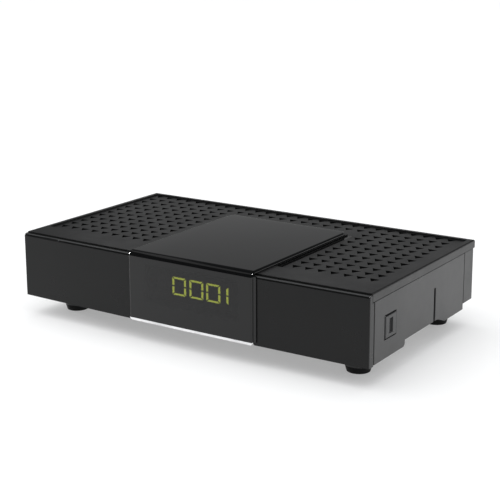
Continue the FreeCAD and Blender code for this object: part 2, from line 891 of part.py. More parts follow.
def make_rear_panel():
    """The back: a plate with returns round both rear corners and holes for the sockets."""
    body = new_body("rear_panel")
    plan = [
        (-side_x, rear_seam_y),
        (-inner_x, rear_seam_y),
        (-inner_x, panel_y),
        (inner_x, panel_y),
        (inner_x, rear_seam_y),
        (side_x, rear_seam_y),
        (side_x, back_y),
        (-side_x, back_y),
    ]
    plan = sketch_on(body, "panel_outline", "XY_Plane", (0, 0, base_z), [plan])
    plan = pad(body, "panel_block", plan, wall_top_z - base_z)
    soften(
        body, "panel_corners", "Fillet", plan,
        lambda middle, ends: upright(ends) and near(middle.y, back_y),
        dim.rear_corner,
    )
    fit = dim.panel_fit
    holes = [
        (tuner_x - dim.jack_spacing / 2, jack_z, dim.jack_collar_radius + fit),
        (tuner_x + dim.jack_spacing / 2, jack_z, dim.jack_collar_radius + fit),
        (dim.audio_x, audio_z, dim.audio_collar_radius + fit),
    ]
    sockets = [
        (dim.hdmi_x, hdmi_z, dim.hdmi_width, dim.hdmi_height),
        (dim.usb_x, usb_z, dim.usb_width, dim.usb_height),
        (dim.lan_x, lan_z, dim.lan_width, dim.lan_height),
        (dim.power_x, power_z, dim.power_width, dim.power_height),
    ]
    for x, z, width, height in sockets:
        reach_x, reach_z = width / 2 + fit, height / 2 + fit
        holes.append(rectangle(x - reach_x, x + reach_x, z - reach_z, z + reach_z))
    holes = sketch_on(body, "panel_hole_outline", "XZ_Plane", (0, panel_y, 0), holes)
    pocket(body, "panel_holes", holes, dim.wall)
    node("rear_panel", body)


def make_foot_pads():
    """Four rubber feet, each on the end of its leg."""
    places = {
        "foot_pad_front_left": (-foot_x, foot_front),
        "foot_pad_front_right": (foot_x, foot_front),
        "foot_pad_rear_left": (-foot_x, foot_rear),
        "foot_pad_rear_right": (foot_x, foot_rear),
    }
    for name, (x, y) in places.items():
        body = new_body(name)
        outline = [
            (0, 0),
            (dim.pad_radius, 0),
            (dim.leg_bottom_radius, dim.pad_height),
            (0, dim.pad_height),
        ]
        outline = sketch_on(body, f"{name}_outline", "XZ_Plane", (x, y, 0), [outline])
        revolve(body, f"{name}_turn", outline)
        node(name, body)


# ---- button and its switch -----------------------------------------------------------------


def make_power_button():
    """The push button: a square cap with a recess, and the stem that pushes into the switch."""
    body = new_body("power_button")
    reach_y = dim.opening_width / 2 - dim.button_gap
    reach_z = dim.opening_height / 2 - dim.button_gap
    cap = rectangle(opening_y - reach_y, opening_y + reach_y, opening_z - reach_z, opening_z + reach_z)
    cap = sketch_on(body, "cap_outline", "YZ_Plane", (button_back, 0, 0), [cap])
    cap = pad(body, "cap", cap, dim.button_thickness)
    soften(
        body, "cap_edges", "Fillet", cap,
        lambda middle, ends: near(middle.x, button_face),
        dim.button_edge,
    )
    thumb = rectangle(
        opening_y - dim.thumb_width / 2, opening_y + dim.thumb_width / 2,
        opening_z - dim.thumb_height / 2, opening_z + dim.thumb_height / 2,
    )
    thumb = sketch_on(body, "thumb_outline", "YZ_Plane", (button_face, 0, 0), [thumb])
    pocket(body, "thumb_recess", thumb, dim.thumb_depth)
    stem = [(opening_y, opening_z, dim.stem_radius)]
    stem = sketch_on(body, "stem_outline", "YZ_Plane", (stem_end, 0, 0), stem)
    pad(body, "stem", stem, dim.stem_length)
    node("power_button", body)


def make_power_switch():
    """The push switch on the board, with a blind hole that the button's stem slides in."""
    half = dim.switch_width / 2
    case = box(
        "switch_case",
        (switch_back, opening_y - half, deck_board_z),
        (switch_face, opening_y + half, opening_z + half),
    )
    hole_end = stem_end - dim.button_travel - dim.running_gap
    hole = rod(
        "switch_hole", (hole_end, opening_y, opening_z),
        dim.stem_radius + dim.running_gap, switch_face - hole_end, "x",
    )
    node("power_switch", cut("switch", case, [hole]))


# ---- board and connectors ------------------------------------------------------------------


def make_main_board():
    """The circuit board with its four screw holes."""
    plate = box("board_plate", (-board_x, board_front, board_z), (board_x, board_back, deck_board_z))
    holes = [
        rod(f"board_hole_{index}", (x, y, board_z), dim.board_screw_radius, dim.board_thickness)
        for index, (x, y) in enumerate(four_corners(board_screw_x, board_screw_front, board_screw_rear))
    ]
    node("main_board", cut("board", plate, holes))


def make_screws(name, corners, head_z, head, shank, upwards):
    """Four screws in one node: a six-sided head and a shank, pointing up or down."""
    head_radius, head_height = head
    shank_radius, shank_length = shank
    head_base = head_z - head_height if upwards else head_z
    shank_base = head_z if upwards else head_z - shank_length
    screws = []
    for index, (x, y) in enumerate(corners):
        parts = [
            hexagon(f"{name}_head_{index}", (x, y, head_base), head_radius, head_height),
            rod(f"{name}_shank_{index}", (x, y, shank_base), shank_radius, shank_length),
        ]
        screws.append(fused(f"{name}_{index}", parts))
    node(name, group(f"{name}_group", screws))


def make_tuner():
    """The shielded tuner can and its two F connectors."""
    half = dim.tuner_width / 2
    can = box(
        "tuner_block",
        (tuner_x - half, panel_y - dim.tuner_depth, deck_board_z),
        (tuner_x + half, panel_y, deck_board_z + dim.tuner_height),
    )
    node("tuner_can", can)
    for name, side in (("loop_output", -1), ("lnb_input", 1)):
        body = new_body(name)
        reach = dim.wall + dim.jack_reach
        collar = dim.wall + dim.socket_flush
        outline = [
            (0, 0),
            (dim.jack_collar_radius, 0),
            (dim.jack_collar_radius, collar),
            (dim.jack_radius, collar),
            (dim.jack_radius, reach),
            (dim.jack_bore_radius, reach),
            (dim.jack_bore_radius, reach - dim.jack_bore_depth),
            (0, reach - dim.jack_bore_depth),
        ]
        outline = sketch_on(body, f"{name}_outline", "XY_Plane", (0, 0, 0), [outline])
        revolve(body, f"{name}_turn", outline)
        place(body, (tuner_x + dim.jack_spacing / 2 * side, panel_y, jack_z))
        node(name, body)


def sheet_socket(name, x, width, height, depth):
    """A drawn metal socket shell: a box open to the back with thin walls."""
    half = width / 2
    thin = dim.shell_sheet
    rear = socket_y
    outer = box(
        f"{name}_outer", (x - half, rear - depth, deck_board_z), (x + half, rear, deck_board_z + height)
    )
    inner = box(
        f"{name}_inner",
        (x - half + thin, rear - depth + thin, deck_board_z + thin),
        (x + half - thin, rear, deck_board_z + height - thin),
    )
    node(name, cut(f"{name}_shell", outer, [inner]))


def tongue(name, x, z, depth):
    """The contact tongue inside a socket shell."""
    half = dim.tongue_width / 2
    start = socket_y - depth + dim.shell_sheet
    end = socket_y - dim.tongue_thickness
    thick = dim.tongue_thickness / 2
    node(name, box(f"{name}_bar", (x - half, start, z - thick), (x + half, end, z + thick)))


def make_lan_socket():
    """The network socket: a block with a stepped opening for the plug and its latch."""
    x, z = dim.lan_x, lan_z
    half, half_open, half_latch = dim.lan_width / 2, dim.lan_opening_width / 2, dim.lan_latch_width / 2
    block = box(
        "lan_block", (x - half, socket_y - dim.lan_depth, deck_board_z),
        (x + half, socket_y, deck_board_z + dim.lan_height),
    )
    low, high = z - dim.lan_opening_height / 2, z + dim.lan_opening_height / 2
    start = socket_y - dim.lan_opening_depth
    opening = box("lan_opening", (x - half_open, start, low), (x + half_open, socket_y, high))
    latch = box(
        "lan_latch", (x - half_latch, start, low - dim.lan_latch_height), (x + half_latch, socket_y, low)
    )
    node("lan_socket", cut("lan", block, [opening, latch]))


def make_digital_audio_jack():
    """The coaxial audio output: a block on the board, a metal ring and a coloured core."""
    half = dim.audio_width / 2
    front = panel_y - dim.audio_depth
    block = box(
        "audio_block", (dim.audio_x - half, front, deck_board_z),
        (dim.audio_x + half, panel_y, deck_board_z + dim.audio_height),
    )
    reach = dim.wall + dim.audio_reach
    base = (dim.audio_x, panel_y, audio_z)
    core = rod("audio_core", base, dim.audio_core_radius, reach, "y")
    hole = rod("audio_hole", base, dim.audio_hole_radius, reach, "y")
    node("digital_audio_jack", cut("audio", fused("audio_body", [block, core]), [hole]))
    ring = rod("audio_ring_outer", base, dim.audio_ring_radius, reach, "y")
    collar = rod("audio_collar", base, dim.audio_collar_radius, dim.wall + dim.socket_flush, "y")
    bore = rod("audio_ring_bore", base, dim.audio_core_radius, reach, "y")
    node("digital_audio_ring", cut("audio_ring", fused("audio_ring_body", [ring, collar]), [bore]))


def make_dc_jack():
    """The low-voltage inlet: a block with a round mouth and a pin in the middle."""
    half = dim.power_width / 2
    block = box(
        "dc_block", (dim.power_x - half, socket_y - dim.power_depth, deck_board_z),
        (dim.power_x + half, socket_y, deck_board_z + dim.power_height),
    )
    start = socket_y - dim.power_bore_depth
    mouth = rod("dc_mouth", (dim.power_x, start, power_z), dim.power_bore_radius, dim.power_bore_depth, "y")
    node("dc_jack", cut("dc", block, [mouth]))
    pin_length = dim.power_bore_depth - dim.power_pin_radius
    node("dc_pin", rod("dc_pin_rod", (dim.power_x, start, power_z), dim.power_pin_radius, pin_length, "y"))


# ---- parts on the main board ---------------------------------------------------------------


def make_processor():
    """The decoder chip and the finned heatsink on it."""
    x, y = dim.chip_x, front_y + dim.chip_y
    half = dim.chip_side / 2
    chip_top = deck_board_z + dim.chip_height
    node("decoder_chip", box("chip", (x - half, y - half, deck_board_z), (x + half, y + half, chip_top)))
    half = dim.sink_side / 2
    base_top = chip_top + dim.sink_base
    parts = [box("sink_plate", (x - half, y - half, chip_top), (x + half, y + half, base_top))]
    pitch = (dim.sink_side - dim.fin_thickness) / (FIN_COUNT - 1)
    for index in range(FIN_COUNT):
        left = x - half + pitch * index
        low = (left, y - half, base_top)
        high = (left + dim.fin_thickness, y + half, base_top + dim.fin_height)
        parts.append(box(f"sink_fin_{index}", low, high))
    node("heatsink", fused("sink", parts))


def make_memory_chips():
    """Two memory chips beside the processor."""
    chips = []
    for index, side in enumerate((-1, 1)):
        y = front_y + dim.chip_y + dim.memory_pitch / 2 * side
        half_x, half_y = dim.memory_width / 2, dim.memory_length / 2
        low = (dim.memory_x - half_x, y - half_y, deck_board_z)
        high = (dim.memory_x + half_x, y + half_y, deck_board_z + dim.memory_height)
        chips.append(box(f"memory_{index}", low, high))
    node("memory_chips", group("memory_group", chips))


def make_power_parts():
    """The capacitors and the coils of the power supply."""
    cans = []
    for index in range(CAPACITOR_COUNT):
        y = front_y + dim.capacitor_y + dim.capacitor_pitch * index
        base = (board_x - dim.capacitor_x, y, deck_board_z)
        cans.append(rod(f"capacitor_{index}", base, dim.capacitor_radius, dim.capacitor_height))
    node("capacitors", group("capacitor_group", cans))
    coils = []
    half = dim.coil_side / 2
    for index in range(COIL_COUNT):
        x, y = dim.coil_x + dim.coil_pitch * index, front_y + dim.coil_y
        low = (x - half, y - half, deck_board_z)
        high = (x + half, y + half, deck_board_z + dim.coil_height)
        coils.append(box(f"coil_{index}", low, high))
    node("power_coils", group("coil_group", coils))


# ---- display unit --------------------------------------------------------------------------


def make_display_unit():
    """The small board behind the cover with the digits, the remote-control eye and the lamp."""
    low = (display_board_left, display_back, display_board_low)
    high = (display_board_right, display_board_back, display_board_high)
    node("display_board", box("display_plate", low, high))
    half_x, half_z = dim.display_width / 2, dim.display_height / 2
    low = (dim.display_x - half_x, display_face, display_z - half_z)
    high = (dim.display_x + half_x, display_back, display_z + half_z)
    node("display_module", box("display_block", low, high))
    half_x, half_z = dim.eye_width / 2, dim.eye_height / 2
    low = (dim.eye_x - half_x, display_back - dim.eye_depth, display_z - half_z)
    high = (dim.eye_x + half_x, display_back, display_z + half_z)
    lens = rod(
        "eye_lens", (dim.eye_x, display_back - dim.eye_depth, display_z - half_z),
        dim.eye_lens, dim.eye_height,
    )
    node("ir_receiver", fused("eye", [box("eye_block", low, high), lens]))
    lamp_y = display_back - dim.lamp_depth
    stem = rod("lamp_stem", (dim.lamp_x, lamp_y, display_z), dim.lamp_radius, dim.lamp_depth, "y")
    tip = doc.addObject("Part::Cone", "lamp_tip")
    bind(tip, Radius1=dim.lamp_radius / 2, Radius2=dim.lamp_radius, Height=dim.lamp_tip)
    tip.Placement = FreeCAD.Placement(FreeCAD.Vector(), TURNS["y"])
    place(tip, (dim.lamp_x, lamp_y - dim.lamp_tip, display_z))
    node("standby_led", fused("lamp", [stem, tip]))


def make_ribbon():
    """The flat lead: out of the back of the display board, over a bend, down into its header."""
    header_front = display_board_back + dim.header_gap
    header_back = header_front + dim.header_depth
    header_top = deck_board_z + dim.header_height
    half = dim.header_width / 2
    low = (dim.cover_offset - half, header_front, deck_board_z)
    high = (dim.cover_offset + half, header_back, header_top)
    node("ribbon_header", box("header_block", low, high))
    body = new_body("ribbon_cable")
    middle = (header_front + header_back) / 2
    outer_y, inner_y = middle + dim.ribbon_thickness / 2, middle - dim.ribbon_thickness / 2
    high_z = display_z
    low_z = high_z - dim.ribbon_thickness
    inner_bend = dim.ribbon_bend - dim.ribbon_thickness
    outline = [
        (display_board_back, low_z),
        (inner_y - inner_bend, low_z, -inner_bend),
        (inner_y, low_z - inner_bend),
        (inner_y, header_top),
        (outer_y, header_top),
        (outer_y, high_z - dim.ribbon_bend, dim.ribbon_bend),
        (outer_y - dim.ribbon_bend, high_z),
        (display_board_back, high_z),
    ]
    left = dim.cover_offset - dim.ribbon_width / 2
    outline = sketch_on(body, "ribbon_outline", "YZ_Plane", (left, 0, 0), [outline])
    pad(body, "ribbon", outline, dim.ribbon_width)
    node("ribbon_cable", body)


# ---- build, check, export ------------------------------------------------------------------

make_top_shell()
make_bottom_shell()
make_front_bezel()
make_centre_cover()
make_trim_strip()
make_rear_panel()
make_foot_pads()
make_power_button()
make_power_switch()
make_main_board()
make_screws(
    "board_screws", four_corners(board_screw_x, board_screw_front, board_screw_rear), deck_board_z,
    (dim.board_head_radius, dim.board_head_height),
    (dim.board_screw_radius, dim.board_screw_length), upwards=False,
)
make_screws(
    "case_screws", four_corners(case_post_x, case_post_front, case_post_rear), case_head_z,
    (dim.case_head_radius, dim.case_head_height),
    (dim.case_screw_radius, dim.case_screw_length), upwards=True,
)
make_tuner()
sheet_socket("hdmi_socket", dim.hdmi_x, dim.hdmi_width, dim.hdmi_height, dim.hdmi_depth)
sheet_socket("usb_socket", dim.usb_x, dim.usb_width, dim.usb_height, dim.usb_depth)
tongue("hdmi_tongue", dim.hdmi_x, hdmi_z, dim.hdmi_depth)
tongue("usb_tongue", dim.usb_x, usb_z + dim.tongue_thickness / 2, dim.usb_depth)
make_lan_socket()
make_digital_audio_jack()
make_dc_jack()
make_processor()
make_memory_chips()
make_power_parts()
make_display_unit()
make_ribbon()

doc.recompute()

for thing in doc.Objects:
    if "Invalid" in thing.State or "Error" in thing.State:
        raise RuntimeError(f"{thing.Name} failed: {thing.State}")
for name, thing in nodes.items():
    if thing.Shape.isNull() or not thing.Shape.isValid():
        raise RuntimeError(f"{name} has no valid shape")

os.makedirs("parts", exist_ok=True)
for name, thing in nodes.items():
    thing.Shape.exportStep(f"parts/{name}.step")
    print(name, len(thing.Shape.Solids), round(thing.Shape.Volume, 1))
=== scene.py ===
"""Looks of a compact satellite TV receiver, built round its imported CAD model, in metres."""
import json
import math
import bmesh
import bpy
from mathutils import Euler, Matrix, Vector

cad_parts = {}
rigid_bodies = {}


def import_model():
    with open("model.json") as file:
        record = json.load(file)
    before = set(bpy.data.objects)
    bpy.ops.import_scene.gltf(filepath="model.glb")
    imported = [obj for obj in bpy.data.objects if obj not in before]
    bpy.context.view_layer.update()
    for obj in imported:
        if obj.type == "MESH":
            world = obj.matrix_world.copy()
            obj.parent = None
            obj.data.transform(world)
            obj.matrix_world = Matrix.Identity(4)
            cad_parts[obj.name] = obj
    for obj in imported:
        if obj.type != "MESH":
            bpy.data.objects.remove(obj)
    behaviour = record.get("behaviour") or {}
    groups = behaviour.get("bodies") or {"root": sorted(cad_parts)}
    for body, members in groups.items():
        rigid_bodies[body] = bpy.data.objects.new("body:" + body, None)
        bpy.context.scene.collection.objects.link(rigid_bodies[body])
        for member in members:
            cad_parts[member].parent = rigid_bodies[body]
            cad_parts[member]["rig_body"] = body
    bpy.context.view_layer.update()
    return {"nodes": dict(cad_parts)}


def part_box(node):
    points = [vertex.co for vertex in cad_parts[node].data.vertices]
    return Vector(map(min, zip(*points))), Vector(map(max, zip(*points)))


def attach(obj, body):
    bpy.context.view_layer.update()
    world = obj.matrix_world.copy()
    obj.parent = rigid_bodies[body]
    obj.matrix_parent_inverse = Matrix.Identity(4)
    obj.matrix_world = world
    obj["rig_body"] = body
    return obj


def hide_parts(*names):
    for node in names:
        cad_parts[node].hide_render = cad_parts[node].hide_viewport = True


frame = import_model()
nodes = frame["nodes"]
MM = 0.001
MICRON = 0.001 * MM


# ---- boxes of the CAD nodes that the pieces sit on ------------------------------------------

cover_low, cover_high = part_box("centre_cover")
base_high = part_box("bottom_shell")[1]
top_low, top_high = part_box("top_shell")
bezel_low, bezel_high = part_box("front_bezel")
display_low, display_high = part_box("display_module")


# ---- shader helpers -------------------------------------------------------------------------

NOISE_LOW, NOISE_HIGH = 0.3, 0.7    # nearly all of a noise's values lie between these
FLOW_SCALE, RUB_SCALE = 28.0, 90.0  # flow marks and handling marks per metre
COARSE_SHARE = 0.6                  # height of the coarser grain, as a share of the fine one


class Shader:
    """A node material in the making."""

    def __init__(self, name, **settings):
        self.material = bpy.data.materials.new(name)
        self.material.use_nodes = True
        self.tree = self.material.node_tree
        self.surface = self.tree.nodes["Principled BSDF"]
        self.place = self.add("ShaderNodeTexCoord").outputs["Object"]
        for socket, value in settings.items():
            self.surface.inputs[socket.replace("_", " ")].default_value = value

    def add(self, kind, settings=None, **sockets):
        """Adds a node; a socket takes a value or another node's output."""
        made = self.tree.nodes.new(kind)
        for key, value in (settings or {}).items():
            setattr(made, key, value)
        for key, value in sockets.items():
            self.join(made, key.replace("_", " "), value)
        return made

    def join(self, made, socket, value):
        """Sets or links one input, given by its name or as i and its number."""
        target = made.inputs[int(socket[1:]) if socket[0] == "i" and socket[1:].isdigit() else socket]
        if isinstance(value, bpy.types.NodeSocket):
            self.tree.links.new(value, target)
        else:
            target.default_value = value

    def combine(self, operation, *values):
        """What one operation makes of numbers or outputs."""
        made = self.add("ShaderNodeMath", {"operation": operation})
        for index, value in enumerate(values):
            self.join(made, f"i{index}", value)
        return made.outputs[0]

    def noise(self, scale, detail, roughness=0.5, place=None):
        """Noise over the piece, its scale in features per metre."""
        return self.add(
            "ShaderNodeTexNoise", Vector=place or self.place, Scale=scale, Detail=detail,
            Roughness=roughness,
        ).outputs["Fac"]

    def axes(self):
        """The place's X, Y and Z."""
        apart = self.add("ShaderNodeSeparateXYZ", Vector=self.place)
        return [apart.outputs[axis] for axis in "XYZ"]

    def stretch(self, x, y, z):
        """The place scaled by axis, for brushed lines and the like."""
        return self.add("ShaderNodeMapping", Vector=self.place, Scale=(x, y, z)).outputs[0]

    def span(self, value, low, high, start=0.0, end=1.0):
        """A value mapped from one range to another, with its ends held."""
        return self.add(
            "ShaderNodeMapRange", Value=value, From_Min=low, From_Max=high, To_Min=start, To_Max=end,
        ).outputs[0]

    def drift(self, noise, start=0.0, end=1.0):
        """A noise mapped so that its usual values fill a range."""
        return self.span(noise, NOISE_LOW, NOISE_HIGH, start, end)

    def falling(self, value, full, none):
        """One up to a value, nought past a higher one."""
        return self.span(value, full, none, 1.0, 0.0)

    def within(self, value, low, high, fade):
        """One between two values, falling to nought over a short way past each."""
        return self.product(self.span(value, low - fade, low), self.falling(value, high, high + fade))

    def product(self, first, *others):
        """Outputs and numbers multiplied together."""
        for other in others:
            first = self.combine("MULTIPLY", first, other)
        return first

    def tint(self, factor, first, second):
        """A colour between two by a factor."""
        made = self.add("ShaderNodeMix", {"data_type": "RGBA"})
        self.join(made, "Factor", factor)
        self.join(made, "i6", first)
        self.join(made, "i7", second)
        return made.outputs[2]

    def mottled(self, noise, colour, share):
        """A colour that drifts darker and lighter by a share of itself."""
        return self.tint(self.drift(noise), shade(colour, 1 - share), shade(colour, 1 + share))

    def flow(self):
        """The faint marks that plastic leaves as it flows in its mould."""
        return self.noise(FLOW_SCALE, detail=4.0)

    def rubbed(self, least, most):
        """A roughness that handling has left uneven."""
        return self.drift(self.noise(RUB_SCALE, detail=6.0, roughness=0.65), least, most)

    def grain(self, fine, coarse):
        """The height of a spark-eroded grain with a coarser one under it, by their scales."""
        small, large = self.noise(fine, detail=2.0), self.noise(coarse, detail=2.0)
        return self.combine("ADD", small, self.product(large, COARSE_SHARE))

    def colour(self, value):
        """Sets the base colour."""
        self.join(self.surface, "Base Color", value)

    def roughness(self, value):
        """Sets the roughness."""
        self.join(self.surface, "Roughness", value)

    def bump(self, height, depth, strength=1.0):
        """A bump from a height, with its depth in metres."""
        made = self.add("ShaderNodeBump", Height=height, Distance=depth, Strength=strength)
        self.join(self.surface, "Normal", made.outputs[0])


def grey(level):
    """A colour without a hue."""
    return (level, level, level, 1.0)


def shade(colour, factor):
    """A colour made darker or lighter."""
    return (*[channel * factor for channel in colour[:3]], 1.0)


# ---- kinds of material ----------------------------------------------------------------------

RUB_SPREAD = 0.05                           # how far handling moves a roughness either way
LINE_DEPTH = 4 * MICRON                     # of the lines drawn in metal
TARNISH, TARNISH_SPAN = 0.82, (0.35, 0.75)  # its shade, and the part of the noise that it fills
PLAIN_SHINIER, PLAIN_DULLER = 0.05, 0.08    # how far a small part's roughness drifts
DUST_COLOUR, DUST_SHARE = grey(0.06), 0.35  # of a speck, and how much of the colour it covers
DUST_SPAN = (0.74, 0.8)                     # the high part of the noise that makes specks
WIPE_STRETCH = (1.0, 0.25, 1.0)
WIPED_CLEAN, WIPED_DULL = 0.75, 1.3         # shares of the roughness


def moulded(name, colour, rough, depth, scale=2600.0, **settings):
    """Moulded plastic: fine spark-eroded grain, faint flow marks and handling sheen."""
    shader = Shader(name, **settings)
    shader.colour(shader.mottled(shader.flow(), colour, share=0.1))
    shader.roughness(shader.rubbed(rough - RUB_SPREAD, rough + RUB_SPREAD))
    shader.bump(shader.grain(scale, scale / 3), depth)
    return shader.material


def metal(name, colour, rough, lines=(1.0, 1.0, 1.0), spread=0.08):
    """Plated metal with fine drawn lines and a little tarnish."""
    shader = Shader(name, Metallic=1.0)
    lined = shader.noise(scale=900.0, detail=3.0, roughness=0.6, place=shader.stretch(*lines))
    cloud = shader.noise(scale=160.0, detail=5.0, roughness=0.6)
    shader.colour(shader.tint(shader.span(cloud, *TARNISH_SPAN), colour, shade(colour, TARNISH)))
    shader.roughness(shader.drift(cloud, rough - spread / 2, rough + spread))
    shader.bump(lined, LINE_DEPTH)
    return shader.material


def plain(name, colour, rough, **settings):
    """A small inner part: one colour with a little cloud in its shade and its shine."""
    shader = Shader(name, **settings)
    cloud = shader.noise(scale=220.0, detail=4.0)
    shader.colour(shader.mottled(cloud, colour, share=0.15))
    shader.roughness(shader.drift(cloud, rough - PLAIN_SHINIER, rough + PLAIN_DULLER))
    shader.bump(shader.noise(scale=2200.0, detail=2.0), depth=10 * MICRON)
    return shader.material


def gloss(name, colour, rough, **settings):
    """Polished plastic with faint wipe marks and dust, still open to more nodes."""
    shader = Shader(name, **settings)
    dust = shader.span(shader.noise(scale=1400.0, detail=2.0), *DUST_SPAN, end=DUST_SHARE)
    shader.colour(shader.tint(dust, colour, DUST_COLOUR))
    wipe = shader.noise(scale=60.0, detail=5.0, roughness=0.6, place=shader.stretch(*WIPE_STRETCH))
    shader.roughness(shader.drift(wipe, rough * WIPED_CLEAN, rough * WIPED_DULL))
    shader.bump(shader.noise(scale=45.0, detail=2.0), depth=20 * MICRON, strength=0.5)
    return shader


# ---- materials of single pieces -------------------------------------------------------------

# The top: the smoother band beside the plate, painted darker as shade along the plate's foot, and the walls
# of the vents.
STRIP_WIDTH, STRIP_FADE = 2.2 * MM, 0.2 * MM
STRIP_END, STRIP_END_FADE = 0.8 * MM, 0.6 * MM      # ahead of the plate's rear edge
STRIP_TOP, STRIP_TOP_FADE = 0.4 * MM, 0.2 * MM      # below the housing's highest face
VENT_TOP, VENT_TOP_FADE = 0.85 * MM, 0.15 * MM      # below the housing's highest face
VENT_FADE = 0.3 * MM
BORDER, FRONT_BORDER = 1.5 * MM, 9.5 * MM           # round the vents
STRIP_SHINE, VENT_SHINE = 0.2, 0.15                 # shares of the grained roughness

# The bezel: the painted highlight along its top edge, as depths below it, and the faces of its returns,
# painted lighter as lit faces.
HIGHLIGHT_START, HIGHLIGHT_FULL, HIGHLIGHT_STILL, HIGHLIGHT_END = (down * MM for down in (0.42, 0.28, 0.08, 0.01))
RETURN_START, RETURN_FULL = 0.2 * MM, 0.02 * MM     # inside the bezel's widest faces

# The base: painted shade along the edge of its walls at the side seams.
WALL_CATCH = 0.05 * MM
SEAM_SHADE_FULL, SEAM_SHADE_GONE = 0.06 * MM, 0.18 * MM        # behind the walls' front edge

# The cover: the see-through window over the display and the lamp.
WINDOW_LEFT, WINDOW_RIGHT, WINDOW_EDGE = 9 * MM, 4 * MM, 2 * MM     # beyond the display
WINDOW_FADE = 1.5 * MM
SKIN_FADE, SKIN_PASSES = 0.4 * MM, 0.05             # the smoked front skin, and the share it lets through

# The capacitors: their bare metal ends.
SLEEVE_END, BARE_START = 0.35 * MM, 0.25 * MM       # below the end of the can

TRACKS = 160.0      # courses of the circuit board's pattern per metre


def deck_plastic():
    """The housing's grained top, smoother and painted darker as shade in the narrow band beside the plate.
    """
    shader = Shader("top_black")
    dark, pale, band_shade_colour = (0.006, 0.0061, 0.0063, 1), (0.0076, 0.0077, 0.0079, 1), (0.002, 0.002, 0.0021, 1)
    x, y, z = shader.axes()
    strip_end, strip_top = cover_high.y - STRIP_END, top_high.z - STRIP_TOP
    smooth_shaded_band = shader.product(
        shader.within(x, cover_high.x, cover_high.x + STRIP_WIDTH, STRIP_FADE),
        shader.falling(y, strip_end, strip_end + STRIP_END_FADE),
        shader.falling(z, strip_top, strip_top + STRIP_TOP_FADE),
    )
    field = shader.tint(shader.drift(shader.flow()), dark, pale)
    # the band's darker colour is painted shade along the plate's foot; its lower roughness is a real
    # smoother finish
    shader.colour(shader.tint(smooth_shaded_band, field, band_shade_colour))
    vent_top = top_high.z - VENT_TOP
    vent_wall = shader.product(
        shader.within(x, top_low.x + BORDER, top_high.x - BORDER, VENT_FADE),
        shader.within(y, top_low.y + FRONT_BORDER, top_high.y - BORDER, VENT_FADE),
        shader.falling(z, vent_top, vent_top + VENT_TOP_FADE),
    )
    grained = shader.combine("SUBTRACT", 1.0, smooth_shaded_band)
    shader.roughness(shader.product(
        shader.rubbed(least=0.31, most=0.41),
        shader.combine("MAXIMUM", grained, STRIP_SHINE),
        shader.span(vent_wall, 0.0, 1.0, 1.0, VENT_SHINE),
    ))
    shader.bump(shader.product(shader.grain(fine=2600.0, coarse=870.0), grained), depth=12 * MICRON)
    return shader.material


def bezel_plastic():
    """The bezel's satin front, with a painted highlight along its top edge and its returns painted lighter
    as lit faces.
    """
    shader = Shader("wing_black", Specular_IOR_Level=0.25)
    # the second colour is a painted highlight; the two side colours paint the returns as lit faces
    satin, painted_highlight = (0.0028, 0.0029, 0.003, 1), (0.05, 0.0505, 0.051, 1)
    lit_side_dark, lit_side_pale = (0.033, 0.0332, 0.0336, 1), (0.038, 0.0382, 0.0386, 1)
    x, _, z = shader.axes()
    # a lighter band along the top edge: painted highlight
    crest_highlight = shader.product(
        shader.span(z, bezel_high.z - HIGHLIGHT_START, bezel_high.z - HIGHLIGHT_FULL),
        shader.falling(z, bezel_high.z - HIGHLIGHT_STILL, bezel_high.z - HIGHLIGHT_END),
    )
    # the returns take a lighter colour than the front of the same part: painted light on the faces that the
    # side light falls on
    returned = shader.span(
        shader.combine("ABSOLUTE", x), bezel_high.x - RETURN_START, bezel_high.x - RETURN_FULL,
    )
    front = shader.tint(crest_highlight, satin, painted_highlight)
    side = shader.tint(shader.drift(shader.flow()), lit_side_dark, lit_side_pale)
    shader.colour(shader.tint(returned, front, side))
    shader.roughness(shader.rubbed(least=0.26, most=0.34))
    shader.bump(shader.grain(fine=3400.0, coarse=1130.0), depth=6 * MICRON)
    return shader.material


def base_plastic():
    """The base's moulded walls, with painted shade along the edge that they turn to the bezel's returns."""
    shader = Shader("base_black")
    seam_shade, dark, pale = grey(0.002), (0.0207, 0.0209, 0.0212, 1), (0.0253, 0.0255, 0.026, 1)
    wall_front = min(
        point.co.y for point in nodes["bottom_shell"].data.vertices
        if abs(point.co.x) > base_high.x - WALL_CATCH
    )
    _, y, _ = shader.axes()
    # the near-black colour at the walls' front edge is painted shade in the gap by the bezel's returns
    unshaded = shader.span(y, wall_front + SEAM_SHADE_FULL, wall_front + SEAM_SHADE_GONE)
    wall = shader.tint(shader.drift(shader.flow()), dark, pale)
    shader.colour(shader.tint(unshaded, seam_shade, wall))
    shader.roughness(shader.rubbed(least=0.27, most=0.37))
    shader.bump(shader.grain(fine=2600.0, coarse=870.0), depth=8 * MICRON)
    return shader.material


def smoked_cover():
    """Smoked gloss cover that lets the lit digits through where it lies over the display."""
    shader = gloss("smoked_cover", (0.002, 0.0021, 0.0023, 1), rough=0.07, Specular_IOR_Level=0.4)
    x, y, z = shader.axes()
    clear = shader.product(
        shader.within(x, display_low.x - WINDOW_LEFT, display_high.x + WINDOW_RIGHT, WINDOW_FADE),
        shader.within(z, display_low.z - WINDOW_EDGE, display_high.z + WINDOW_EDGE, WINDOW_FADE),
        shader.falling(y, top_low.y, top_low.y + WINDOW_FADE),
        shader.span(y, bezel_low.y - SKIN_FADE, bezel_low.y + SKIN_FADE, SKIN_PASSES, 1.0),
    )
    shader.join(shader.surface, "Alpha", shader.combine("SUBTRACT", 1.0, clear))
    return shader.material


def capacitor_sleeve():
    """A printed sleeve under the bare metal end of the can."""
    shader = Shader("sleeve", Roughness=0.32)
    print_blue, metal_grey = (0.02, 0.025, 0.06, 1), (0.55, 0.56, 0.58, 1)
    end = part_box("capacitors")[1].z
    _, _, z = shader.axes()
    bare = shader.span(z, end - SLEEVE_END, end - BARE_START)
    shader.colour(shader.tint(bare, print_blue, metal_grey))
    shader.bump(shader.noise(scale=2200.0, detail=2.0), depth=10 * MICRON)
    return shader.material


